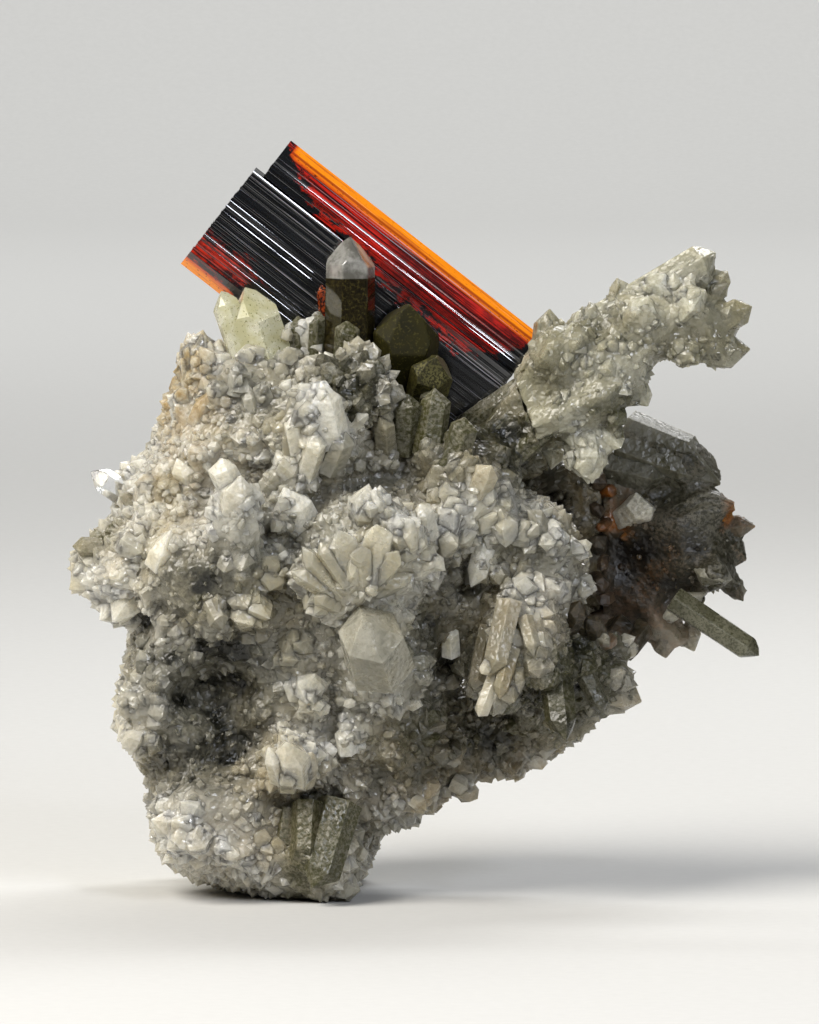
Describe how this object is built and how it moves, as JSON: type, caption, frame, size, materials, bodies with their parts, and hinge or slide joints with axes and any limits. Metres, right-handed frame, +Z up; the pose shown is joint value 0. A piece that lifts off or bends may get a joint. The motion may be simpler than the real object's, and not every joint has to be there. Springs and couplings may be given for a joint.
{
  "type": "brookite on quartz mineral specimen",
  "caption": "Striated red and black brookite blade standing on a branching mass of milky and chlorite-green quartz crystals, for display on a flat surface.",
  "frame": {"origin": "under the middle of the bounding box, on the surface that the specimen stands on", "axes": "+Z up, -Y towards the viewer of the picture, +X to that viewer's right; the brookite's broad faces lie square to Y"},
  "size_m": [0.0554, 0.0382, 0.0602],
  "materials": {
    "milky_quartz": "milky white to cream quartz druse with yellow iron stain and grey-green chlorite, satin",
    "arm_quartz": "milky to colourless quartz crystals, glossy",
    "grey_quartz": "grey-green quartz full of chlorite, with rusty stain, satin",
    "brookite": "dark red-brown to black brookite with orange see-through edges, adamantine lustre",
    "brookite_sliver": "orange-brown brookite, glossy",
    "phantom_quartz": "clear quartz with an olive chlorite phantom, glossy",
    "chlorite_quartz": "dark olive quartz full of chlorite, satin",
    "chlorite_quartz_small": "olive quartz full of chlorite, satin",
    "pale_quartz": "pale yellow-green quartz, glossy",
    "clear_quartz": "water-clear quartz, glossy",
    "prism_quartz": "see-through grey quartz with chlorite specks, glossy"
  },
  "bodies": {
    "root": {"quartz_matrix": "milky_quartz", "quartz_arm": "arm_quartz", "grey_quartz_group": "grey_quartz", "brookite_crystal": "brookite", "brookite_splinter": "brookite_sliver", "phantom_quartz_point": "phantom_quartz", "chlorite_quartz_large": "chlorite_quartz", "chlorite_quartz_middle": "chlorite_quartz_small", "pale_quartz_pair": "pale_quartz", "clear_quartz_point": "clear_quartz", "lone_quartz_prism": "prism_quartz"}
  },
  "joints": []
}
